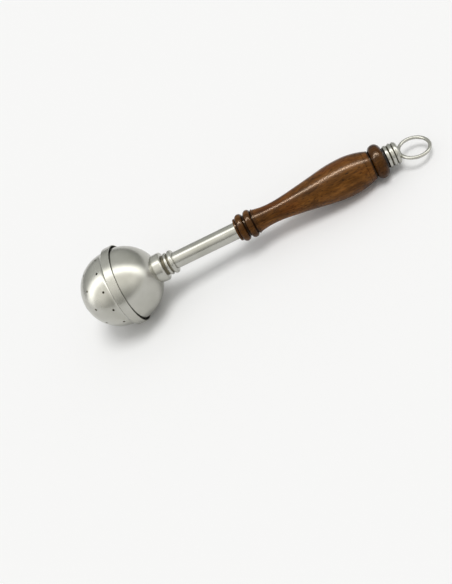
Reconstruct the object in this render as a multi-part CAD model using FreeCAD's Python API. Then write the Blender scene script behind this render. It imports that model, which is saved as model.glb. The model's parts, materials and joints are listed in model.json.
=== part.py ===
import FreeCAD, Part
import math
import os

# Aspergillum, a sprinkler for holy water: a hollow ball with a perforated screw cap, a neck of turned rings, a
# plated tube, and a turned wooden handle that ends in a ferrule and a hanging ring. All sizes are millimetres.
#
# A station is a distance along the shaft, measured from the ball's centre and positive toward the hanging ring.
# The pieces are made about the X axis, with stations along X. The finished model then lies as on a table. It
# rests on the cap's skirt and on the handle's end bead, so the shaft slopes down a little toward the ring.

# Ball
BALL_R = 30.0               # outside of the plain rear shell
SHELL_WALL = 0.8
SHELL_RIM = 1.0             # station of the rear shell's open edge
CAP_STEP = 0.4              # how much smaller the perforated front dome's radius is
CAP_FORWARD = 4.8           # how far the dome's centre stands in front of the rear shell's
CAP_WALL = 0.8
SKIRT_STEP = 1.9            # how far the skirt, which laps over the rear shell, stands proud of it
SKIRT_WALL = 0.6
SKIRT_LAP = 3.4             # how far the skirt reaches past the rear shell's edge
SKIRT_LENGTH = 6.8
SKIRT_COVE = 3.0            # length of the hollow curve from the dome up to the skirt
SKIRT_EDGE_R = 0.25

# Sprinkle holes: angle from the dome's pole, and how many holes stand round the dome at that angle
SPRINKLE_HOLE_R = 0.9
HOLE_RINGS = ((0.0, 1), (28.0, 6), (55.5, 10), (83.0, 12))
FIRST_HOLE_AZIMUTH = 76.3   # degrees round the shaft, from +Y toward up
RING_STAGGER = 9.0          # degrees that each ring of holes is turned from the one outside it

# Screw joint between the cap and the rear shell, with the threads left plain
SPIGOT_INSET = 1.5          # from the inside of the shell to the outside of its threaded spigot
RUNNING_CLEARANCE = 0.05
SPIGOT_WALL = 1.0
SPIGOT_REACH = 5.8          # how far the spigot stands out of the shell
SPIGOT_SEAT = 4.0           # how far its flange is brazed into the shell
CAP_RING_LENGTH = 4.4
SEAL_THICKNESS = 1.7
SEAL_GAP = 0.05             # on each side of the seal, so that it binds on neither
SOFT_CLEARANCE = 0.3        # room round the seal and the sponge

# Tie rod and what it clamps inside the ball
ROD_R = 3.0
ROD_CLEARANCE = 0.1
ROD_TIP = 1.0               # how far the rod stands past the nut
NUT_ACROSS_FLATS = 10.0
NUT_HEIGHT = 5.0
DISC_R = 9.0
DISC_DEPTH = 3.7            # from the inside of the shell to the nut's seat, on the axis
SPONGE_TO_ROD = 0.5

# Neck, two turned rings
COLLAR_FRONT_R = 10.7
COLLAR_R = 11.2
COLLAR_BACK_R = 9.2
COLLAR_BARREL = 4.2         # length of the barrel, from the ball's pole
COLLAR_SHOULDER = 1.2       # length of the rounded shoulder behind the barrel
COLLAR_LENGTH = 6.2         # from the ball's pole
NECK_GROOVE_R = 7.6
SMALL_BEAD_R = 8.9
SMALL_BEAD_WIDTH = 2.6
LARGE_BEAD_R = 9.3
LARGE_BEAD_WIDTH = 3.7
NECK_GROOVE = 0.8           # width of the groove in front of each bead

# Tube
TUBE_R = 6.45
TUBE_WALL = 0.8
TUBE_SHOWN = 52.5
TUBE_IN_NECK = 5.5
TUBE_IN_WOOD = 22.3

# Wooden handle, from its front face to its back
FLANGE_R = 8.7
FLANGE_LENGTH = 1.6
FLANGE_EDGE_R = 0.5
WOOD_GROOVE_R = 8.2
FIRST_BEAD_R = 10.7
FIRST_BEAD_WIDTH = 5.9
SECOND_BEAD_R = 10.9
SECOND_BEAD_WIDTH = 5.7
FLANGE_GROOVE = 0.2
BEAD_GROOVE = 1.0
FILLET_GROOVE = 0.4
FILLET_R = 9.5              # small ring behind the second bead
FILLET_WIDTH = 1.5
FILLET_STEP = 0.5           # how far that ring stands proud of the wood behind it
COVE_LENGTH = 12.1          # from that ring down to the narrow neck
NECK_R = 7.6
SWELL_LENGTH = 60.0         # from the neck up to the belly
SWELL_SHAPE = ((0.267, 0.196), (0.633, 0.681))  # shares of the swell's length and of its rise
BELLY_R = 14.5
BELLY_LENGTH = 20.6         # from its widest place to its end
BELLY_END_R = 10.3
END_BEAD_R = 12.9
END_BEAD_FOOT_R = 9.3
END_BEAD_WIDTH = 9.2
END_GROOVE = 0.2
END_LIP = 0.1
TOOL_LINE_INSET = 4.5       # from the belly's end to a fine line scratched round it
TOOL_LINE_DEPTH = 0.2
TOOL_LINE_WIDTH = 0.5

# End ferrule and hanging ring
WASHER_THICKNESS = 0.9
WASHER_R = 7.4
FERRULE_R = 8.5
FERRULE_GROOVE_R = 7.2
FERRULE_RIBS = 2
RIB_WIDTH = 3.4
CROWN_R = 8.3               # last rib, which rounds over to the end face
CROWN_RISE = 1.1
CROWN_ROUND = 2.4
END_FACE_R = 5.6
ROD_IN_FERRULE = 6.5
FERRULE_BORE_SPARE = 0.5
RING_MEAN_R = 11.0
RING_WIRE_R = 1.3
RING_SINK = 1.4             # how deep the ring's wire is let into the ferrule's end
RING_LEAN = 9.5             # degrees that the ring leans to one side, as it was soldered
RING_DROOP = 8.0            # degrees that it leans down

# Radii and stations that follow from the sizes above
CAP_R = BALL_R - CAP_STEP
CAP_CENTRE = -CAP_FORWARD
SKIRT_R = BALL_R + SKIRT_STEP
SKIRT_END = SHELL_RIM + SKIRT_LAP
SKIRT_START = SKIRT_END - SKIRT_LENGTH
SEAL_BACK = SHELL_RIM - SEAL_GAP
SEAL_FRONT = SEAL_BACK - SEAL_THICKNESS
CAP_RING_BACK = SEAL_FRONT - SEAL_GAP
SPIGOT_FRONT = SHELL_RIM - SPIGOT_REACH
SHELL_INNER_R = BALL_R - SHELL_WALL
CAP_INNER_R = CAP_R - CAP_WALL
SKIRT_INNER_R = SKIRT_R - SKIRT_WALL
THREAD_R = SHELL_INNER_R - SPIGOT_INSET
SPONGE_R = THREAD_R - SPIGOT_WALL - SOFT_CLEARANCE
ROD_HOLE_R = ROD_R + ROD_CLEARANCE
NUT_SEAT = SHELL_INNER_R - DISC_DEPTH
NUT_FRONT = NUT_SEAT - NUT_HEIGHT
ROD_FRONT = NUT_FRONT - ROD_TIP
COLLAR_END = BALL_R + COLLAR_LENGTH
BEAD_RING_END = COLLAR_END + SMALL_BEAD_WIDTH + LARGE_BEAD_WIDTH + 2 * NECK_GROOVE
TUBE_FRONT = BEAD_RING_END - TUBE_IN_NECK
HANDLE_START = BEAD_RING_END + TUBE_SHOWN
TUBE_BACK = HANDLE_START + TUBE_IN_WOOD
FIRST_BEAD_AT = HANDLE_START + FLANGE_LENGTH + FLANGE_GROOVE
SECOND_BEAD_AT = FIRST_BEAD_AT + FIRST_BEAD_WIDTH + BEAD_GROOVE
FILLET_AT = SECOND_BEAD_AT + SECOND_BEAD_WIDTH + FILLET_GROOVE
FILLET_END = FILLET_AT + FILLET_WIDTH
COVE_START_R = FILLET_R - FILLET_STEP
NECK_AT = FILLET_END + COVE_LENGTH
BELLY_AT = NECK_AT + SWELL_LENGTH
BELLY_END = BELLY_AT + BELLY_LENGTH
END_BEAD_AT = BELLY_END + END_GROOVE
HANDLE_END = END_BEAD_AT + END_BEAD_WIDTH + END_LIP
FERRULE_START = HANDLE_END + WASHER_THICKNESS
FERRULE_END = FERRULE_START + FERRULE_RIBS * RIB_WIDTH + CROWN_RISE + CROWN_ROUND
ROD_BACK = FERRULE_START + ROD_IN_FERRULE
RING_REACH = RING_MEAN_R + RING_WIRE_R - RING_SINK
AXIS = FreeCAD.Vector(1, 0, 0)


def point(station, radius):
    return FreeCAD.Vector(station, 0, radius)


def turned(path):
    """Turns a closed outline about the shaft. An entry is (station, radius), reached by a straight line, or
    ((station, radius), (station, radius)), reached by an arc through the first point to the second."""
    edges = []
    here = point(*path[0])
    for entry in path[1:] + [path[0]]:
        if isinstance(entry[0], tuple):
            through = point(*entry[0])
            there = point(*entry[1])
            edges.append(Part.Arc(here, through, there).toShape())
        else:
            there = point(*entry)
            if (there - here).Length > 1e-6:
                edges.append(Part.makeLine(here, there))
        here = there
    return solid_of(edges)


def solid_of(edges):
    face = Part.Face(Part.Wire(edges))
    return face.revolve(FreeCAD.Vector(0, 0, 0), AXIS, 360)


def on_sphere(radius, station, centre=0.0):
    return (station, math.sqrt(radius ** 2 - (station - centre) ** 2))


def half_way(radius, first, second, centre=0.0):
    """Point of the sphere half way, by angle, between two stations on it. A pole may round to just past it."""
    shares = [max(-1.0, min(1.0, (station - centre) / radius)) for station in (first, second)]
    angle = (math.acos(shares[0]) + math.acos(shares[1])) / 2
    return (centre + radius * math.cos(angle), radius * math.sin(angle))


def bead(start, width, foot_r, top_r):
    """A half-round bead: its first foot, and the arc over its top to its second foot."""
    return [(start, foot_r), ((start + width / 2, top_r), (start + width, foot_r))]


def rod_bore(shape, start, end, radius=ROD_HOLE_R):
    return shape.cut(Part.makeCylinder(radius, end - start, point(start, 0), AXIS))


def cap_cavity():
    """Space inside the cap and its skirt, open at the back."""
    pole = CAP_CENTRE - CAP_INNER_R
    ledge = SKIRT_START + 2 * (SKIRT_R - SKIRT_INNER_R)
    ledge_foot = ledge - (SKIRT_INNER_R - CAP_INNER_R)
    foot = on_sphere(CAP_INNER_R, ledge_foot, CAP_CENTRE)
    return turned([
        (pole, 0),
        (half_way(CAP_INNER_R, pole, ledge_foot, CAP_CENTRE), foot),
        (ledge, SKIRT_INNER_R),
        (SKIRT_END + 1, SKIRT_INNER_R),
        (SKIRT_END + 1, 0),
    ])


def perforated_cap():
    pole = CAP_CENTRE - CAP_R
    cove_start = on_sphere(CAP_R, SKIRT_START - SKIRT_COVE, CAP_CENTRE)
    cove_middle = (SKIRT_START - 0.3 * SKIRT_COVE, (cove_start[1] + SKIRT_R) / 2 - 0.1 * SKIRT_COVE)
    body = turned([
        (pole, 0),
        (half_way(CAP_R, pole, cove_start[0], CAP_CENTRE), cove_start),
        (cove_middle, (SKIRT_START, SKIRT_R - SKIRT_EDGE_R)),
        (SKIRT_START + SKIRT_EDGE_R, SKIRT_R),
        (SKIRT_END - SKIRT_EDGE_R, SKIRT_R),
        skirt_edge(),
        (SKIRT_END, 0),
    ])
    return body.cut(cap_cavity()).cut(sprinkle_holes())


def skirt_edge():
    middle = SKIRT_EDGE_R * (1 - math.sqrt(0.5))
    return ((SKIRT_END - middle, SKIRT_R - middle), (SKIRT_END, SKIRT_R - SKIRT_EDGE_R))


def sprinkle_holes():
    drills = []
    for number, (polar, count) in enumerate(HOLE_RINGS):
        turn = (len(HOLE_RINGS) - 1 - number) * RING_STAGGER
        for step in range(count):
            azimuth = math.radians(FIRST_HOLE_AZIMUTH + turn + 360.0 * step / count)
            out = math.sin(math.radians(polar))
            direction = FreeCAD.Vector(-math.cos(math.radians(polar)), out * math.cos(azimuth),
                                       out * math.sin(azimuth))
            start = point(CAP_CENTRE, 0) + direction * (CAP_INNER_R - 2 * CAP_WALL)
            drills.append(Part.makeCylinder(SPRINKLE_HOLE_R, 4 * CAP_WALL, start, direction))
    return drills


def cap_thread_ring():
    ring = turned([
        (CAP_RING_BACK - CAP_RING_LENGTH, THREAD_R + RUNNING_CLEARANCE),
        (CAP_RING_BACK - CAP_RING_LENGTH, SKIRT_R),
        (CAP_RING_BACK, SKIRT_R),
        (CAP_RING_BACK, THREAD_R + RUNNING_CLEARANCE),
    ])
    return ring.common(cap_cavity())


def sealing_ring():
    return turned([
        (SEAL_FRONT, THREAD_R + SOFT_CLEARANCE),
        (SEAL_FRONT, SKIRT_INNER_R - SOFT_CLEARANCE),
        (SEAL_BACK, SKIRT_INNER_R - SOFT_CLEARANCE),
        (SEAL_BACK, THREAD_R + SOFT_CLEARANCE),
    ])


def rear_shell():
    outer_rim = on_sphere(BALL_R, SHELL_RIM)
    inner_rim = on_sphere(SHELL_INNER_R, SHELL_RIM)
    shell = turned([
        inner_rim,
        outer_rim,
        (half_way(BALL_R, SHELL_RIM, BALL_R), (BALL_R, 0)),
        (SHELL_INNER_R, 0),
        (half_way(SHELL_INNER_R, SHELL_RIM, SHELL_INNER_R), inner_rim),
    ])
    return rod_bore(shell, 0, BALL_R + 1)


def shell_thread_ring():
    seat_end = on_sphere(SHELL_INNER_R, SHELL_RIM + SPIGOT_SEAT)
    seat_front = on_sphere(SHELL_INNER_R, SHELL_RIM)
    return turned([
        (SPIGOT_FRONT, THREAD_R - SPIGOT_WALL),
        (SPIGOT_FRONT, THREAD_R),
        (SHELL_RIM, THREAD_R),
        seat_front,
        (half_way(SHELL_INNER_R, SHELL_RIM, seat_end[0]), seat_end),
        (seat_end[0], THREAD_R - SPIGOT_WALL),
    ])


def sponge():
    """A barrel of sponge that passes through the spigot, domed in front and behind to fit the ball."""
    front_r = CAP_INNER_R - SOFT_CLEARANCE
    back_r = SHELL_INNER_R - SOFT_CLEARANCE
    pole = CAP_CENTRE - front_r
    front = CAP_CENTRE - math.sqrt(front_r ** 2 - SPONGE_R ** 2)
    back = math.sqrt(back_r ** 2 - SPONGE_R ** 2)
    flat = on_sphere(back_r, ROD_FRONT - SPONGE_TO_ROD)
    return turned([
        (pole, 0),
        (half_way(front_r, pole, front, CAP_CENTRE), (front, SPONGE_R)),
        (back, SPONGE_R),
        (half_way(back_r, back, flat[0]), flat),
        (flat[0], 0),
    ])


def backing_disc():
    edge = on_sphere(SHELL_INNER_R, math.sqrt(SHELL_INNER_R ** 2 - DISC_R ** 2))
    disc = turned([
        (NUT_SEAT, 0),
        (NUT_SEAT, DISC_R),
        edge,
        (half_way(SHELL_INNER_R, edge[0], SHELL_INNER_R), (SHELL_INNER_R, 0)),
    ])
    return rod_bore(disc, NUT_SEAT - 1, BALL_R)


def head_nut():
    corner_r = NUT_ACROSS_FLATS / math.sqrt(3)
    corners = []
    for step in range(7):
        angle = math.radians(60 * step)
        corners.append(FreeCAD.Vector(NUT_FRONT, corner_r * math.cos(angle), corner_r * math.sin(angle)))
    blank = Part.Face(Part.makePolygon(corners)).extrude(AXIS * NUT_HEIGHT)
    chamfer = (corner_r - NUT_ACROSS_FLATS / 2) / 2
    lathe = turned([
        (NUT_FRONT, 0),
        (NUT_FRONT, NUT_ACROSS_FLATS / 2),
        (NUT_FRONT + chamfer, corner_r),
        (NUT_SEAT - chamfer, corner_r),
        (NUT_SEAT, NUT_ACROSS_FLATS / 2),
        (NUT_SEAT, 0),
    ])
    return rod_bore(blank.common(lathe), NUT_FRONT - 1, NUT_SEAT + 1, ROD_R)


def tie_rod():
    return Part.makeCylinder(ROD_R, ROD_BACK - ROD_FRONT, point(ROD_FRONT, 0), AXIS)


def neck_collar():
    front = math.sqrt(BALL_R ** 2 - COLLAR_FRONT_R ** 2) - 1
    barrel_end = BALL_R + COLLAR_BARREL
    shoulder_end = barrel_end + COLLAR_SHOULDER
    blank = turned([
        (front, 0),
        (front, COLLAR_FRONT_R),
        (((front + barrel_end) / 2, COLLAR_R), (barrel_end, COLLAR_R)),
        ((barrel_end + 0.7 * COLLAR_SHOULDER, COLLAR_BACK_R + 0.6 * (COLLAR_R - COLLAR_BACK_R)),
         (shoulder_end, COLLAR_BACK_R)),
        (shoulder_end, NECK_GROOVE_R),
        (COLLAR_END, NECK_GROOVE_R),
        (COLLAR_END, 0),
    ])
    return rod_bore(blank.cut(Part.makeSphere(BALL_R)), 0, COLLAR_END + 1)


def bead_ring():
    small_start = COLLAR_END + NECK_GROOVE
    large_start = small_start + SMALL_BEAD_WIDTH + NECK_GROOVE
    blank = turned(
        [(COLLAR_END, 0), (COLLAR_END, NECK_GROOVE_R)]
        + bead(small_start, SMALL_BEAD_WIDTH, NECK_GROOVE_R, SMALL_BEAD_R)
        + bead(large_start, LARGE_BEAD_WIDTH, NECK_GROOVE_R, LARGE_BEAD_R)
        + [(BEAD_RING_END, 0)]
    )
    blank = rod_bore(blank, COLLAR_END - 1, BEAD_RING_END + 1)
    return rod_bore(blank, TUBE_FRONT, BEAD_RING_END + 1, TUBE_R)


def shaft_tube():
    outside = Part.makeCylinder(TUBE_R, TUBE_BACK - TUBE_FRONT, point(TUBE_FRONT, 0), AXIS)
    return rod_bore(outside, TUBE_FRONT - 1, TUBE_BACK + 1, TUBE_R - TUBE_WALL)


def belly_arc():
    """Radius, and the centre's radius, of the arc from the belly's widest place to its end."""
    drop = BELLY_R - BELLY_END_R
    radius = (BELLY_LENGTH ** 2 + drop ** 2) / (2 * drop)
    return radius, BELLY_R - radius


def belly_radius(station):
    radius, centre_r = belly_arc()
    return centre_r + math.sqrt(radius ** 2 - (station - BELLY_AT) ** 2)


def swell():
    """The long curve from the handle's neck to its belly, level at both ends."""
    points = [point(NECK_AT, NECK_R)]
    for along, up in SWELL_SHAPE:
        points.append(point(NECK_AT + along * SWELL_LENGTH, NECK_R + up * (BELLY_R - NECK_R)))
    points.append(point(BELLY_AT, BELLY_R))
    curve = Part.BSplineCurve()
    curve.interpolate(Points=points, InitialTangent=AXIS, FinalTangent=AXIS)
    return curve.toShape()


def wood_outline_front():
    """The flange, the beads and the hollow down to the handle's neck, up to where the swell starts."""
    flange_end = HANDLE_START + FLANGE_LENGTH
    drop = COVE_START_R - NECK_R
    cove_r = (COVE_LENGTH ** 2 + drop ** 2) / (2 * drop)
    middle = (FILLET_END + NECK_AT) / 2
    cove_middle = (middle, NECK_R + cove_r - math.sqrt(cove_r ** 2 - (NECK_AT - middle) ** 2))
    edge = FLANGE_EDGE_R * (1 - math.sqrt(0.5))
    return (
        [(HANDLE_START, 0), (HANDLE_START, FLANGE_R - FLANGE_EDGE_R),
         ((HANDLE_START + edge, FLANGE_R - edge), (HANDLE_START + FLANGE_EDGE_R, FLANGE_R)),
         (flange_end, FLANGE_R)]
        + bead(FIRST_BEAD_AT, FIRST_BEAD_WIDTH, WOOD_GROOVE_R, FIRST_BEAD_R)
        + bead(SECOND_BEAD_AT, SECOND_BEAD_WIDTH, WOOD_GROOVE_R, SECOND_BEAD_R)
        + [(FILLET_AT, WOOD_GROOVE_R)]
        + bead(FILLET_AT, FILLET_WIDTH, COVE_START_R, FILLET_R)
        + [(cove_middle, (NECK_AT, NECK_R))]
    )


def wood_outline_back():
    """The belly's end and the end bead, from the belly's widest place to the axis."""
    middle = (BELLY_AT + BELLY_END) / 2
    return (
        [(BELLY_AT, BELLY_R), ((middle, belly_radius(middle)), (BELLY_END, BELLY_END_R))]
        + bead(END_BEAD_AT, END_BEAD_WIDTH, END_BEAD_FOOT_R, END_BEAD_R)
        + [(HANDLE_END, END_BEAD_FOOT_R), (HANDLE_END, 0)]
    )


def edges_along(path):
    edges = []
    here = point(*path[0])
    for entry in path[1:]:
        if isinstance(entry[0], tuple):
            there = point(*entry[1])
            edges.append(Part.Arc(here, point(*entry[0]), there).toShape())
        else:
            there = point(*entry)
            edges.append(Part.makeLine(here, there))
        here = there
    return edges


def wood_handle():
    front = wood_outline_front()
    back = wood_outline_back()
    floor = Part.makeLine(point(*back[-1]), point(*front[0]))
    blank = solid_of(edges_along(front) + [swell()] + edges_along(back) + [floor])
    blank = rod_bore(blank, HANDLE_START - 1, HANDLE_END + 1)
    return rod_bore(blank, HANDLE_START - 1, TUBE_BACK, TUBE_R).cut(tool_line())


def tool_line():
    station = BELLY_END - TOOL_LINE_INSET
    surface = belly_radius(station)
    return turned([
        (station - TOOL_LINE_WIDTH / 2, surface + TOOL_LINE_DEPTH),
        (station, surface - TOOL_LINE_DEPTH),
        (station + TOOL_LINE_WIDTH / 2, surface + TOOL_LINE_DEPTH),
    ])


def end_washer():
    disc = Part.makeCylinder(WASHER_R, WASHER_THICKNESS, point(HANDLE_END, 0), AXIS)
    return rod_bore(disc, HANDLE_END - 1, FERRULE_START + 1)


def end_ferrule():
    path = [(FERRULE_START, 0), (FERRULE_START, FERRULE_GROOVE_R)]
    for number in range(FERRULE_RIBS):
        path += bead(FERRULE_START + number * RIB_WIDTH, RIB_WIDTH, FERRULE_GROOVE_R, FERRULE_R)
    crown_foot = FERRULE_START + FERRULE_RIBS * RIB_WIDTH
    crown_top = crown_foot + CROWN_RISE
    path += [
        ((crown_foot + 0.3 * CROWN_RISE, FERRULE_GROOVE_R + 0.7 * (CROWN_R - FERRULE_GROOVE_R)),
         (crown_top, CROWN_R)),
        ((crown_top + 0.7 * CROWN_ROUND, END_FACE_R + 0.7 * (CROWN_R - END_FACE_R)),
         (FERRULE_END, END_FACE_R)),
        (FERRULE_END, 0),
    ]
    bored = rod_bore(turned(path), FERRULE_START - 1, ROD_BACK + FERRULE_BORE_SPARE, ROD_R)
    return bored.cut(hang_ring())


def ring_directions():
    """Unit vectors from the ferrule out to the ring's centre, and square to the ring."""
    lean = math.radians(RING_LEAN)
    droop = math.radians(RING_DROOP)
    level = FreeCAD.Vector(math.cos(lean), -math.sin(lean), 0)
    up = FreeCAD.Vector(0, 0, 1)
    return level * math.cos(droop) - up * math.sin(droop), level * math.sin(droop) + up * math.cos(droop)


def ring_centre():
    return point(FERRULE_END, 0) + ring_directions()[0] * RING_REACH


def hang_ring():
    return Part.makeTorus(RING_MEAN_R, RING_WIRE_R, ring_centre(), ring_directions()[1])


def slope():
    """Angle of the shaft, and height of the ball's centre, when skirt and end bead lie on a level table."""
    skirt_centre = (SKIRT_END - SKIRT_EDGE_R, SKIRT_R - SKIRT_EDGE_R)
    rise = END_BEAD_R - END_BEAD_FOOT_R
    bead_r = ((END_BEAD_WIDTH / 2) ** 2 + rise ** 2) / (2 * rise)
    bead_centre = (END_BEAD_AT + END_BEAD_WIDTH / 2, END_BEAD_R - bead_r)
    along = bead_centre[0] - skirt_centre[0]
    drop = skirt_centre[1] - bead_centre[1]
    angle = math.atan2(drop, along) - math.asin((bead_r - SKIRT_EDGE_R) / math.hypot(along, drop))
    height = math.sin(angle) * skirt_centre[0] + math.cos(angle) * skirt_centre[1] + SKIRT_EDGE_R
    return angle, height


def resting_place():
    """Lays the model on its table, with the middle of its length and width over the origin."""
    angle, height = slope()
    turn = FreeCAD.Rotation(FreeCAD.Vector(0, 1, 0), math.degrees(angle))
    across = turn.multVec(ring_directions()[1]).x
    far_end = turn.multVec(ring_centre()).x + RING_MEAN_R * math.sqrt(1 - across ** 2) + RING_WIRE_R
    near_end = turn.multVec(point(CAP_CENTRE, 0)).x - CAP_R
    return FreeCAD.Placement(FreeCAD.Vector(-(near_end + far_end) / 2, 0, height), turn)


PIECES = {
    "perforated_cap": perforated_cap,
    "cap_thread_ring": cap_thread_ring,
    "sealing_ring": sealing_ring,
    "rear_shell": rear_shell,
    "shell_thread_ring": shell_thread_ring,
    "sponge": sponge,
    "backing_disc": backing_disc,
    "head_nut": head_nut,
    "tie_rod": tie_rod,
    "neck_collar": neck_collar,
    "bead_ring": bead_ring,
    "shaft_tube": shaft_tube,
    "wood_handle": wood_handle,
    "end_washer": end_washer,
    "end_ferrule": end_ferrule,
    "hang_ring": hang_ring,
}


def main():
    os.makedirs("parts", exist_ok=True)
    place = resting_place()
    for name, make in PIECES.items():
        shape = make()
        solids = shape.Solids
        if len(solids) != 1 or not solids[0].isValid():
            raise ValueError(f"{name} is {len(solids)} solids, or its solid isn't valid")
        solid = solids[0]
        solid.Placement = place.multiply(solid.Placement)
        solid.exportStep(f"parts/{name}.step")
    print("ball centre", place.Base, "slope in degrees", math.degrees(slope()[0]))
    print("ring centre", place.multVec(ring_centre()))
    print("ring axis", place.Rotation.multVec(ring_directions()[1]))


main()
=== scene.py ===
# %% [markdown]
# # An aspergillum on a pale floor
# An aspergillum sprinkles holy water. A hollow plated ball holds a wet sponge. Its front half is
# pierced with small holes and unscrews. Behind it come a neck of turned rings, a plated tube, a
# turned wooden handle, and a ferrule with a ring to hang it by. The solid model is loaded first,
# and this lesson dresses it: a camera, a small studio, one finish for each real material, and the
# sponge, which a solid model can't show well.

# %% Load the model
import json
import math
import bmesh
import bpy
from mathutils import Euler, Matrix, Vector, noise


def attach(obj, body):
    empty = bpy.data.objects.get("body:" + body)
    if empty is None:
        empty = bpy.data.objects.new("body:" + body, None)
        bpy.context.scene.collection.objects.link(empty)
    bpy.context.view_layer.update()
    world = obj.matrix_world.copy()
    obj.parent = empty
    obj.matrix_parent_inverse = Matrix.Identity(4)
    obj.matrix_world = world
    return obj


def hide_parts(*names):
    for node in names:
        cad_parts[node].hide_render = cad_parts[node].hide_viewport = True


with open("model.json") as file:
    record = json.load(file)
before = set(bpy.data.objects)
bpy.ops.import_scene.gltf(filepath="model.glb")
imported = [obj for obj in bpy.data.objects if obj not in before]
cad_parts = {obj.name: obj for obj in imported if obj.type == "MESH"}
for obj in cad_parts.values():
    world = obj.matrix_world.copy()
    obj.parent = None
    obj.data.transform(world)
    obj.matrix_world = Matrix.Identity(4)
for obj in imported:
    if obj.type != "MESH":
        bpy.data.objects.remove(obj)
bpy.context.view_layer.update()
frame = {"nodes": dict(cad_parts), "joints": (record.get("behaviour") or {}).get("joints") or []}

MM = 0.001


# %% [markdown]
# ## Where the shaft lies
# The sprinkler lies on a table, and the ball is thicker than the handle, so its shaft slopes.
# Patterns that follow the lathe or the grain need the ball's centre and that slope. Both could be
# typed in here once more. The cap's screw joint already holds them, so they are read from it, and
# they can't drift from the model. A place is then given as a turner would give it: how far along
# the shaft from the ball's centre, and how far off it.

# %% Read the shaft from the screw joint
cap_turn = next(joint for joint in frame["joints"] if joint["name"] == "cap_turn")
BALL_CENTRE = Vector(cap_turn["pos_m"])
TO_RING = -Vector(cap_turn["axis"]).normalized()
SHAFT_TURN = Euler((0, math.atan2(-TO_RING.z, TO_RING.x), 0))
print("the shaft slopes by", round(math.degrees(SHAFT_TURN.y), 2), "degrees")


def from_shaft(along, beside, above):
    """World place of a point given in millimetres along the shaft, beside it and above it."""
    return BALL_CENTRE + SHAFT_TURN.to_matrix() @ (Vector((along, beside, above)) * MM)


# %% [markdown]
# ## The camera
# The picture is taken from above and in front, with the camera turned on its side by about 42
# degrees, so that the shaft runs up to the right. A rotation could be typed as three angles, but
# they say little. Here the camera is aimed at a point and then rolled. The lens is the one that
# gives the same perspective.

# %% Place the camera
CAMERA_PLACE = from_shaft(182.2, -454.9, 379.5)
AIM = from_shaft(75.3, -50.3, -4.7)
ROLL = math.radians(-42.2)
LENS = 49.4

camera_data = bpy.data.cameras.new("camera")
camera_data.lens = LENS
camera = bpy.data.objects.new("camera", camera_data)
bpy.context.scene.collection.objects.link(camera)
look = (AIM - CAMERA_PLACE).to_track_quat("-Z", "Y").to_matrix()
camera.matrix_world = Matrix.Translation(CAMERA_PLACE) @ (look @ Matrix.Rotation(ROLL, 3, "Z")).to_4x4()
bpy.context.scene.camera = camera
print("the camera stands", round((AIM - CAMERA_PLACE).length, 3), "m from what it is aimed at")

# %% [markdown]
# ## Two helpers for materials
# Colours are picked in a picture as hex codes, which are sRGB. Shaders work in linear light, so one
# function turns the first into the second. Another adds a shader node, with its settings and links,
# in one call.

# %% Colour and node helpers


def linear(code):
    """Turns an sRGB hex code such as #C9C4BA into linear red, green and blue, and a full alpha."""
    values = []
    for start in (1, 3, 5):
        value = int(code[start:start + 2], 16) / 255
        values.append(value / 12.92 if value <= 0.04045 else ((value + 0.055) / 1.055) ** 2.4)
    return (*values, 1.0)


def add(tree, kind, inputs=None, stops=(), **settings):
    """Adds a node and gives back its outputs. An input, by name or number, gets a plain value or another
    node's output. A colour ramp's stops are places from 0 to 1 with a hex code each."""
    node = tree.nodes.new("ShaderNode" + kind)
    for name, value in settings.items():
        setattr(node, name, value)
    for place, code in stops[2:]:
        node.color_ramp.elements.new(place)
    for element, (place, code) in zip(node.color_ramp.elements if stops else (), stops):
        element.position = place
        element.color = linear(code)
    for socket, value in (inputs or {}).items():
        if isinstance(value, bpy.types.NodeSocket):
            tree.links.new(value, node.inputs[socket])
        else:
            node.inputs[socket].default_value = value
    return node.outputs


def per(size_mm):
    """The scale that gives a pattern features of this many millimetres."""
    return 1 / (size_mm * MM)


def new_material(name):
    material = bpy.data.materials.new(name)
    material.use_nodes = True
    tree = material.node_tree
    return material, tree, tree.nodes["Principled BSDF"]


# %% [markdown]
# ## The floor, the sky and the sun
# A pale floor and an even pale sky suit polished metal. A nearby area lamp would leave the edges of
# the floor dark, so a sun lamp gives the shadow, with a wide angle that makes it soft. A real lamp
# also shows in metal as a hard white disc. This one is hidden from reflections, and the next step
# hangs something kinder in its place.

# %% Build the floor, the sky and the sun
FLOOR_SIZE = 12.0
FLOOR_COLOUR = "#F9F9F8"
FLOOR_ROUGHNESS = 0.9
SUN_ANGLE = math.radians(30)
SUN_POWER = 1.35
SUN_FROM = Vector((0.24, -0.09, 0.97))
SKY_LIGHT = 0.57            # what the sky adds to every surface
SKY_SHOWN = 0.95            # how bright the sky itself looks


def link_staged(name, mesh):
    """Turns a finished bmesh into a studio object, which isn't part of the sprinkler."""
    data = bpy.data.meshes.new(name)
    mesh.to_mesh(data)
    mesh.free()
    staged = bpy.data.objects.new(name, data)
    bpy.context.scene.collection.objects.link(staged)
    return staged


floor_mesh = bmesh.new()
bmesh.ops.create_grid(floor_mesh, x_segments=1, y_segments=1, size=FLOOR_SIZE / 2)
floor = link_staged("floor", floor_mesh)
pale_paint, tree, shader = new_material("matt_pale_paint")
shader.inputs["Base Color"].default_value = linear(FLOOR_COLOUR)
shader.inputs["Roughness"].default_value = FLOOR_ROUGHNESS
shader.inputs["Specular IOR Level"].default_value = 0.0
floor.data.materials.append(pale_paint)

sun_data = bpy.data.lights.new("soft_sun", "SUN")
sun_data.energy = SUN_POWER
sun_data.angle = SUN_ANGLE
sun = bpy.data.objects.new("soft_sun", sun_data)
sun.rotation_euler = SUN_FROM.to_track_quat("Z", "Y").to_euler()
sun.visible_glossy = False
bpy.context.scene.collection.objects.link(sun)

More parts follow.
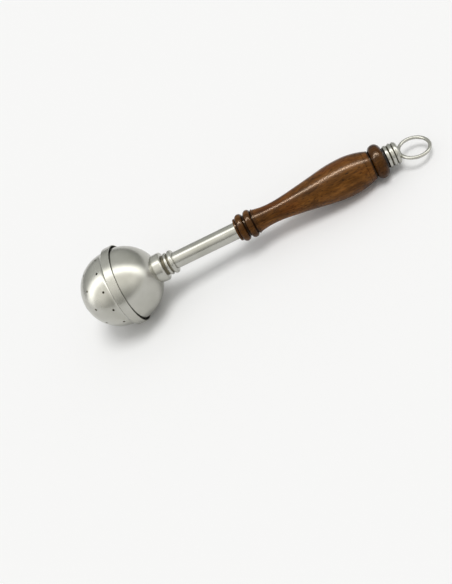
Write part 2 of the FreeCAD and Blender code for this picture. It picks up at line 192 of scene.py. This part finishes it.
world = bpy.data.worlds.new("pale_sky")
world.use_nodes = True
bpy.context.scene.world = world
tree = world.node_tree
rays = add(tree, "LightPath")
seen = add(tree, "Math", {0: rays["Is Camera Ray"], 1: rays["Is Glossy Ray"]}, operation="MAXIMUM")[0]
seen = add(tree, "Math", {0: seen, 1: rays["Is Transmission Ray"]}, operation="MAXIMUM")[0]
strength = add(tree, "MapRange", {"Value": seen, "To Min": SKY_LIGHT, "To Max": SKY_SHOWN})["Result"]
tree.links.new(strength, tree.nodes["Background"].inputs["Strength"])
tree.nodes["Background"].inputs["Color"].default_value = linear("#FFFFFF")
bpy.context.scene.view_settings.view_transform = "Standard"

# %% [markdown]
# ## The light tent
# Metal has no colour of its own to show, only what stands round it. In an all-pale room it looks
# flat and milky. So silverware is photographed in a light tent, a cloth dome. One long strip light
# shines through this one's top, along the shaft. The strip's brightness is on a scale where the
# floor's is nearly 1. It draws the streak along tube and handle. The cloth is middling in front and
# dim behind, and dims toward the floor. That gives the dark line along the tube's far side. The
# tent is shown to reflections alone, so it lights nothing and casts no shadow.

# %% Hang the light tent
TENT_R = 3.0
TENT_GLOW = 3.2
TENT_ACROSS = (             # from the back, 0, over the top, 0.5, to the front, 1
    (0.0, "#7C7D7B"),
    (0.36, "#828381"),
    (0.47, "#FFFFFD"),
    (0.55, "#FFFFFD"),
    (0.62, "#AEADA9"),
    (0.8, "#A8A7A3"),
    (1.0, "#7A7A77"),
)
TENT_LOW, TENT_HIGH = 0.1, 1.4      # heights in metres between which the cloth brightens
TENT_FOOT = 0.5                     # its share of the brightness below that
ABOVE_FLOOR = 0.001                 # so that the tent's rim and the floor don't share a plane

tent_mesh = bmesh.new()
bmesh.ops.create_uvsphere(tent_mesh, u_segments=64, v_segments=32, radius=TENT_R)
bmesh.ops.bisect_plane(tent_mesh, geom=tent_mesh.verts[:] + tent_mesh.edges[:] + tent_mesh.faces[:],
                       plane_co=(0, 0, ABOVE_FLOOR), plane_no=(0, 0, 1), clear_inner=True)
tent = link_staged("light_tent", tent_mesh)
tent.visible_camera = False
tent.visible_diffuse = False
tent.visible_shadow = False
tent_cloth, tree, shader = new_material("white_tent_cloth")
place = add(tree, "SeparateXYZ", {"Vector": add(tree, "TexCoord")["Object"]})
across = add(tree, "MapRange", {"Value": place["Y"], "From Min": TENT_R, "From Max": -TENT_R})["Result"]
cloth = add(tree, "ValToRGB", {"Fac": across}, stops=TENT_ACROSS)["Color"]
glow = add(tree, "MapRange", {"Value": place["Z"], "From Min": TENT_LOW, "From Max": TENT_HIGH,
                              "To Min": TENT_FOOT * TENT_GLOW, "To Max": TENT_GLOW})["Result"]
glow = add(tree, "Emission", {"Color": cloth, "Strength": glow})["Emission"]
tree.links.new(glow, tree.nodes["Material Output"].inputs["Surface"])
tent.data.materials.append(tent_cloth)

# %% [markdown]
# ## A lamp for the varnish
# Varnish mirrors a few hundredths of the light at most, and plated metal about half of it. So a
# strip that is right for metal leaves hardly a line on varnished wood. A stronger strip would burn
# the metal out. In a studio a narrow lamp with black flags shines on the wood alone. Light linking
# does the work of the flags here.

# %% Hang the varnish lamp
LAMP_PLACE = Vector((0.06, 0.0, 0.9))
LAMP_LONG, LAMP_WIDE = 1.8, 0.1
LAMP_GLOW = 75.0            # on the same scale as the strip's

lamp_data = bpy.data.lights.new("varnish_lamp", "AREA")
lamp_data.shape = "RECTANGLE"
lamp_data.size, lamp_data.size_y = LAMP_LONG, LAMP_WIDE
lamp_data.energy = LAMP_GLOW * math.pi * LAMP_LONG * LAMP_WIDE
lamp = bpy.data.objects.new("varnish_lamp", lamp_data)
lamp.location = LAMP_PLACE
lamp.visible_camera = False
lamp.visible_diffuse = False
bpy.context.scene.collection.objects.link(lamp)
varnished = bpy.data.collections.new("varnished")
varnished.objects.link(frame["nodes"]["wood_handle"])
lamp.light_linking.receiver_collection = varnished
print("the varnish lamp gives", round(lamp_data.energy, 1), "W")

# %% [markdown]
# ## Plated brass
# The outside metal is brass, spun or turned on a lathe, then plated with nickel and a thin layer of
# chrome. That gives a neutral, slightly warm grey with satin reflections. One flat roughness looks
# like plastic film, so three small things are added. Fine rings from the last polish run round the
# shaft. Handling leaves faint cloudy smudges, which change the gloss more than the colour. In the
# grooves of the neck and the ferrule the plate is made rougher, and its colour is darkened as
# painted shade. A groove is told by its distance from the shaft's middle.

# %% Make the plated brass
PLATE_COLOUR = "#B8B7B0"
PLATE_SMUDGED = "#AFAEA6"
# the next colour is painted shade for the bottoms of the grooves
PLATE_GROOVE_SHADE = "#6B6450"
SMUDGE_SIZE = 14.0
GROOVE_R = (7.4, 8.3)       # from the dull bottom of a groove up to clean metal
GROOVED_SPANS = ((35.4, 44.0), (216.6, 223.0))      # the neck and the ferrule, along the shaft

plated_brass, tree, shader = new_material("nickel_plated_brass")
place = add(tree, "Mapping", {"Vector": add(tree, "TexCoord")["Object"], "Location": BALL_CENTRE,
                              "Rotation": SHAFT_TURN}, vector_type="TEXTURE")["Vector"]
smudge = add(tree, "TexNoise", {"Vector": place, "Scale": per(SMUDGE_SIZE), "Detail": 3.0})["Fac"]
smudges = ((0.35, PLATE_SMUDGED), (0.6, PLATE_COLOUR))
tint = add(tree, "ValToRGB", {"Fac": smudge}, stops=smudges)["Color"]

along = add(tree, "SeparateXYZ", {"Vector": place})["X"]
off_shaft = add(tree, "VectorMath", {0: place, 1: (0, 1, 1)}, operation="MULTIPLY")["Vector"]
off_shaft = add(tree, "VectorMath", {0: off_shaft}, operation="LENGTH")["Value"]
deep = add(tree, "MapRange", {"Value": off_shaft, "From Min": GROOVE_R[1] * MM,
                              "From Max": GROOVE_R[0] * MM}, interpolation_type="SMOOTHSTEP")["Result"]
spans = []
for start, end in GROOVED_SPANS:
    middle, half = (start + end) / 2 * MM, (end - start) / 2 * MM
    spans.append(add(tree, "Math", {0: along, 1: middle, 2: half}, operation="COMPARE")[0])
grooved = add(tree, "Math", {0: spans[0], 1: spans[1]}, operation="MAXIMUM")[0]
# painted shade: this mask darkens the plate's colour in the grooves, and also makes them rougher
groove_shade_and_dull = add(tree, "Math", {0: deep, 1: grooved}, operation="MULTIPLY")[0]
tint = add(tree, "Mix", {"Factor": groove_shade_and_dull, "A": tint, "B": linear(PLATE_GROOVE_SHADE)}, data_type="RGBA")["Result"]
print("dulled", len(GROOVED_SPANS), "grooved places on the plate")

# %% [markdown]
# ### Gloss and polish
# Gloss tells the eye more than colour does on metal. A clean place is smoother than a smudged one,
# and a dull groove is rougher than both. The polishing rings are a noise pattern that is drawn out
# round the shaft, so that it turns into fine lines, and a bump lets them catch the light.

# %% Finish the plated brass
PLATE_ROUGHNESS = (0.22, 0.28)      # the smudges vary it between these
DULL_ROUGHNESS = 0.2                # what a dull groove adds to it
POLISH_RING = 0.6           # millimetres between polishing rings, coarser than real so that they show
POLISH_DEPTH = 0.02
ROUND_SHAFT = (1.0, 0.02, 0.02)     # draws a pattern out round the shaft

roughness = add(tree, "MapRange", {"Value": smudge, "From Min": 0.3, "From Max": 0.7,
                                   "To Min": PLATE_ROUGHNESS[0], "To Max": PLATE_ROUGHNESS[1]})["Result"]
roughness = add(tree, "Math", {0: groove_shade_and_dull, 1: DULL_ROUGHNESS, 2: roughness}, operation="MULTIPLY_ADD")[0]
rings = add(tree, "Mapping", {"Vector": place, "Scale": ROUND_SHAFT})["Vector"]
rings = add(tree, "TexNoise", {"Vector": rings, "Scale": per(POLISH_RING), "Detail": 2.0})["Fac"]
relief = add(tree, "Bump", {"Height": rings, "Strength": 0.05, "Distance": POLISH_DEPTH * MM})["Normal"]
tree.links.new(tint, shader.inputs["Base Color"])
tree.links.new(roughness, shader.inputs["Roughness"])
tree.links.new(relief, shader.inputs["Normal"])
shader.inputs["Metallic"].default_value = 1.0

# %% [markdown]
# ## Varnished hardwood
# The handle is a close-grained hardwood, stained dark and varnished by hand. Real wood is built of
# layers, so the colour is too: amber and brown clouds where the stain took unevenly, reddish
# patches, year rings that run lengthwise because the blank was turned along its grain, fine fibres,
# and open pores. The varnish is thin and amber. A full-strength clear shine would mirror the pale
# floor as a grey veil over the dark stain, so the shine is set low and tinted, and the varnish lamp
# draws the line of light.

# %% Stain the hardwood
WOOD_DARK = "#42260B"
WOOD_BROWN = "#5C3812"
WOOD_AMBER = "#7C5022"
WOOD_RED = "#633310"
WOOD_PORE = "#150802"
CLOUD_SIZE = 6.5
RED_SIZE = 9.0
ALONG_GRAIN = {"clouds": 0.3, "fibres": 0.05, "pores": 0.1, "years": 0.12}      # smaller is longer
PITH_PLACE = (0, 22 * MM, -9 * MM)

hardwood, tree, shader = new_material("varnished_hardwood")
place = add(tree, "Mapping", {"Vector": add(tree, "TexCoord")["Object"], "Location": BALL_CENTRE,
                              "Rotation": SHAFT_TURN}, vector_type="TEXTURE")["Vector"]
grain = {}
for name, squeeze in ALONG_GRAIN.items():
    start = PITH_PLACE if name == "years" else (0, 0, 0)
    grain[name] = add(tree, "Mapping", {"Vector": place, "Location": start,
                                        "Scale": (squeeze, 1, 1)})["Vector"]
clouds = add(tree, "TexNoise", {"Vector": grain["clouds"], "Scale": per(CLOUD_SIZE), "Detail": 7.0,
                                "Roughness": 0.66, "Distortion": 0.5})["Fac"]
wood = add(tree, "ValToRGB", {"Fac": clouds},
           stops=((0.36, WOOD_DARK), (0.48, WOOD_BROWN), (0.66, WOOD_AMBER)))["Color"]
reds = add(tree, "TexNoise", {"Vector": grain["clouds"], "W": 4.0, "Scale": per(RED_SIZE),
                              "Detail": 4.0}, noise_dimensions="4D")["Fac"]
reds = add(tree, "MapRange", {"Value": reds, "From Min": 0.5, "From Max": 0.68, "To Max": 0.6})["Result"]
wood = add(tree, "Mix", {"Factor": reds, "A": wood, "B": linear(WOOD_RED)}, data_type="RGBA")["Result"]

# %% [markdown]
# ### Grain
# A blank's year rings lie round the tree's pith, which is rarely the lathe's axis, so they are
# drawn round a line beside the handle. Fibres and pores are noise patterns that are drawn out along
# the grain. Each of the three only darkens or lightens the stain under it.

# %% Draw the grain
YEAR_BAND = 16.3            # a band of several year rings, because single ones are too fine to show
WAVE_LENGTH = math.tau / 20         # of Blender's ring wave at scale 1
FIBRE_WIDTH = 0.7           # coarser than real, so that it shows
PORE_WIDTH = 0.45           # coarser than real, so that it shows

years = add(tree, "TexWave", {"Vector": grain["years"], "Scale": WAVE_LENGTH * per(YEAR_BAND),
                              "Distortion": 5.0, "Detail": 3.0, "Detail Scale": 2.0},
            wave_type="RINGS", rings_direction="X")["Fac"]
years = add(tree, "MapRange", {"Value": years, "To Min": 0.82, "To Max": 1.1})["Result"]
fibres = add(tree, "TexNoise", {"Vector": grain["fibres"], "Scale": per(FIBRE_WIDTH),
                                "Detail": 3.0})["Fac"]
fibres = add(tree, "MapRange", {"Value": fibres, "From Min": 0.3, "From Max": 0.7, "To Min": 0.72,
                                "To Max": 1.25})["Result"]
shade = add(tree, "Math", {0: years, 1: fibres}, operation="MULTIPLY")[0]
wood = add(tree, "VectorMath", {0: wood, "Scale": shade}, operation="SCALE")["Vector"]
pores = add(tree, "TexNoise", {"Vector": grain["pores"], "Scale": per(PORE_WIDTH), "Detail": 0.0})["Fac"]
pores = add(tree, "MapRange", {"Value": pores, "From Min": 0.34, "From Max": 0.26, "To Max": 0.8})["Result"]
wood = add(tree, "Mix", {"Factor": pores, "A": wood, "B": linear(WOOD_PORE)}, data_type="RGBA")["Result"]

# %% [markdown]
# ### Dark grooves
# The grooves beside the turned beads are darkened almost to black. A mask could come from the
# mesh's hollows, but that depends on how it is cut into triangles. The grooves lie at known
# stations along the handle, so a ramp along the shaft darkens them, and it fits them exactly.

# %% Darken the grooves and add the varnish
VARNISH_ROUGHNESS = 0.24
VARNISH_SHINE = 0.15        # a full dielectric shine would be 0.5
VARNISH_TINT = "#FFE4C8"
PORE_DEPTH = 0.04
DARKENED_STATIONS = (      # station, how far each way it is darkest, where it ends, how dark from 0 to 1
    (98.4, 0.3, 1.3, 0.75),
    (104.8, 0.5, 2.4, 0.95),
    (104.7, 8.0, 10.5, 0.45),
    (111.2, 0.3, 1.6, 0.9),
    (113.1, 0.2, 1.0, 0.5),
    (201.1, 0.1, 0.4, 0.35),
    (205.6, 0.3, 1.6, 0.95),
    (210.5, 4.6, 6.5, 0.55),
    (215.4, 0.4, 2.0, 0.9),
)
station = add(tree, "SeparateXYZ", {"Vector": place})["X"]
groove_darkening = 0.0
for middle, darkest, ends, dark in DARKENED_STATIONS:
    away = add(tree, "Math", {0: station, 1: middle * MM}, operation="SUBTRACT")[0]
    away = add(tree, "Math", {0: away}, operation="ABSOLUTE")[0]
    here = add(tree, "MapRange", {"Value": away, "From Min": ends * MM, "From Max": darkest * MM,
                                  "To Max": dark}, interpolation_type="SMOOTHSTEP")["Result"]
    groove_darkening = add(tree, "Math", {0: groove_darkening, 1: here}, operation="MAXIMUM")[0]
wood = add(tree, "Mix", {"Factor": groove_darkening, "A": wood, "B": linear(WOOD_PORE)}, data_type="RGBA")["Result"]
relief = add(tree, "Bump", {"Height": pores, "Strength": 0.25, "Distance": -PORE_DEPTH * MM})["Normal"]
tree.links.new(wood, shader.inputs["Base Color"])
tree.links.new(relief, shader.inputs["Normal"])
shader.inputs["Roughness"].default_value = VARNISH_ROUGHNESS
shader.inputs["IOR"].default_value = 1.5
shader.inputs["Specular IOR Level"].default_value = VARNISH_SHINE
shader.inputs["Specular Tint"].default_value = linear(VARNISH_TINT)
print("darkened", len(DARKENED_STATIONS), "places on the handle")

# %% [markdown]
# ## The hidden materials
# Inside are plain turned brass, zinc-plated steel, black nitrile rubber, and vulcanised fibre,
# which is pressed cotton paper. They show only in a gap or through a hole, or when the cap is off.
# Each still has its own small pattern, because a single flat value looks wrong as soon as light
# falls on it.

# %% Make brass, steel, rubber and fibre


def speckled(name, low, high, size_mm, roughness, metallic=0.0, ior=1.5, depth_mm=0.01):
    """A plain finish with a fine pattern in its colour and surface. A metal keeps the default IOR."""
    material, tree, shader = new_material(name)
    place = add(tree, "TexCoord")["Object"]
    grain = add(tree, "TexNoise", {"Vector": place, "Scale": per(size_mm), "Detail": 3.0})["Fac"]
    colour = add(tree, "ValToRGB", {"Fac": grain}, stops=((0.35, low), (0.65, high)))["Color"]
    relief = add(tree, "Bump", {"Height": grain, "Strength": 0.4, "Distance": depth_mm * MM})["Normal"]
    tree.links.new(colour, shader.inputs["Base Color"])
    tree.links.new(relief, shader.inputs["Normal"])
    shader.inputs["Roughness"].default_value = roughness
    shader.inputs["Metallic"].default_value = metallic
    if not metallic:
        shader.inputs["IOR"].default_value = ior
    return material


turned_brass = speckled("turned_brass", "#B08D4F", "#CDAA66", 0.8, 0.32, metallic=1.0)
zinc_steel = speckled("zinc_plated_steel", "#9A9C9E", "#B9BBBC", 1.2, 0.38, metallic=1.0)
nitrile = speckled("black_nitrile_rubber", "#141414", "#222222", 0.6, 0.55, ior=1.52)
fibre = speckled("black_vulcanised_fibre", "#120F0D", "#241F1B", 0.4, 0.6, ior=1.53)

# %% [markdown]
# ## Finishes on the solid model
# Each part of the solid model keeps its mesh. It only gets the finish of the material that it is
# made of.

# %% Hand out the finishes
FINISHES = {
    "perforated_cap": plated_brass,
    "rear_shell": plated_brass,
    "neck_collar": plated_brass,
    "bead_ring": plated_brass,
    "shaft_tube": plated_brass,
    "end_ferrule": plated_brass,
    "hang_ring": plated_brass,
    "wood_handle": hardwood,
    "cap_thread_ring": turned_brass,
    "shell_thread_ring": turned_brass,
    "backing_disc": turned_brass,
    "head_nut": zinc_steel,
    "tie_rod": zinc_steel,
    "sealing_ring": nitrile,
    "end_washer": fibre,
}
for node, finish in FINISHES.items():
    for material_slot in frame["nodes"][node].material_slots:
        material_slot.material = finish
print("finished", len(FINISHES), "of", len(frame["nodes"]), "nodes")

# %% [markdown]
# ## The sponge
# A barrel of sponge fills the ball. A noise pattern on a smooth barrel would look painted, so the
# shape is modelled. A lathe makes such a shape from half its outline. Two helpers draw that outline
# from one vertex: a straight stretch is extruded in short steps, and a round one is spun. The many
# small steps are there for the lumps, which need points to move.

# %% Two helpers for an outline


def draw_out(shape, vert, along, outward, steps):
    """Extrudes a vertex by so many millimetres, in short steps, and gives back the last one."""
    for _ in range(steps):
        vert = bmesh.ops.extrude_vert_indiv(shape, verts=[vert])["verts"][0]
        vert.co += Vector((along, 0, outward)) * MM / steps
    return vert


def arc(shape, vert, centre, degrees, steps):
    """Spins a vertex about a centre on the shaft, and gives back the end of the arc."""
    made = bmesh.ops.spin(shape, geom=[vert], cent=(centre * MM, 0, 0), axis=(0, 1, 0),
                          angle=math.radians(degrees), steps=steps)
    return next(item for item in made["geom_last"] if isinstance(item, bmesh.types.BMVert))


# %% [markdown]
# ### The barrel
# A vertex on the shaft is spun into an arc for the front dome, drawn out along the barrel, spun
# again for the rear dome, and drawn in to the shaft. That outline is then spun round the shaft. A
# sphere and a cylinder could be joined instead, but their cut edges would need mending.

# %% Spin the barrel
SPONGE_R = 26.2
FRONT_DOME_CENTRE = -4.8    # along the shaft, as the cap's own dome
FRONT_DOME_R = 28.3
REAR_DOME_R = 28.7
SPONGE_BACK = 18.8
DOME_STEPS, BARREL_STEPS, EDGE_STEPS, BACK_STEPS = 20, 14, 6, 10
SPIN_STEPS = 120

sponge_mesh = bmesh.new()
front_corner = math.degrees(math.asin(SPONGE_R / FRONT_DOME_R))
rear_corner = math.degrees(math.asin(SPONGE_R / REAR_DOME_R))
rear_edge = math.degrees(math.acos(SPONGE_BACK / REAR_DOME_R))
end = sponge_mesh.verts.new(((FRONT_DOME_CENTRE - FRONT_DOME_R) * MM, 0, 0))
end = arc(sponge_mesh, end, FRONT_DOME_CENTRE, front_corner, DOME_STEPS)
barrel = REAR_DOME_R * math.cos(math.radians(rear_corner)) - end.co.x / MM
end = draw_out(sponge_mesh, end, barrel, 0, BARREL_STEPS)
end = arc(sponge_mesh, end, 0, rear_corner - rear_edge, EDGE_STEPS)
end = draw_out(sponge_mesh, end, 0, -end.co.z / MM, BACK_STEPS)
bmesh.ops.spin(sponge_mesh, geom=sponge_mesh.verts[:] + sponge_mesh.edges[:], cent=(0, 0, 0),
               axis=(1, 0, 0), angle=math.tau, steps=SPIN_STEPS, use_merge=True)
bmesh.ops.remove_doubles(sponge_mesh, verts=sponge_mesh.verts, dist=0.01 * MM)
bmesh.ops.recalc_face_normals(sponge_mesh, faces=sponge_mesh.faces)
sponge_mesh.normal_update()
print("the barrel is", round(barrel, 1), "mm long between its domes")

# %% [markdown]
# ### Lumps
# Each point of the barrel is pushed in along its normal by a lumpy noise. It is only ever pushed
# in, so the sponge stays in the space that the ball leaves. Then the sponge is turned to the
# shaft's slope and moved to the ball.

# %% Push the lumps in and place the sponge
LUMP_SIZE = 5.0
LUMP_DEPTH = 0.9
NOISE_SHAPE = (1.0, 2.0, 3)         # how fast finer lumps fade, how much finer each is, how many

for vert in sponge_mesh.verts:
    lump = 0.5 + 0.5 * noise.fractal(vert.co * per(LUMP_SIZE), *NOISE_SHAPE)
    vert.co -= vert.normal * LUMP_DEPTH * MM * min(max(lump, 0), 1)
bmesh.ops.rotate(sponge_mesh, cent=(0, 0, 0), matrix=SHAFT_TURN.to_matrix(), verts=sponge_mesh.verts)
bmesh.ops.translate(sponge_mesh, vec=BALL_CENTRE, verts=sponge_mesh.verts)
for face in sponge_mesh.faces:
    face.smooth = True
sponge_data = bpy.data.meshes.new("sponge_barrel")
sponge_mesh.to_mesh(sponge_data)
sponge_mesh.free()
sponge_barrel = bpy.data.objects.new("sponge_barrel", sponge_data)
bpy.context.scene.collection.objects.link(sponge_barrel)
print("sponge faces", len(sponge_data.polygons))

# %% [markdown]
# ### Open cells
# A household sponge is a foam of cells about a millimetre wide, honey-coloured. A Voronoi pattern
# gives such cells: its distance is 0 at the middle of a cell and grows toward its walls. The middle
# of each cell gets a darker colour, as painted shade down inside it.

# %% Finish the sponge
SPONGE_CELL = 1.4           # a little coarser than real, so that it shows through a hole
CELL_SHADE_COLOUR, CELL_PALE = "#7A6232", "#D8C078"
CELL_DEPTH = 0.6
sponge_foam, tree, shader = new_material("open_cell_foam")
place = add(tree, "TexCoord")["Object"]
cells = add(tree, "TexVoronoi", {"Vector": place, "Scale": per(SPONGE_CELL)})["Distance"]
# painted shade: the middle of each cell gets the darker colour, as if shaded down inside it
colour = add(tree, "ValToRGB", {"Fac": cells}, stops=((0.1, CELL_SHADE_COLOUR), (0.5, CELL_PALE)))["Color"]
relief = add(tree, "Bump", {"Height": cells, "Strength": 0.9, "Distance": CELL_DEPTH * MM})["Normal"]
tree.links.new(colour, shader.inputs["Base Color"])
tree.links.new(relief, shader.inputs["Normal"])
shader.inputs["Roughness"].default_value = 0.85
sponge_data.materials.append(sponge_foam)
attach(sponge_barrel, "wand")
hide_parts("sponge")
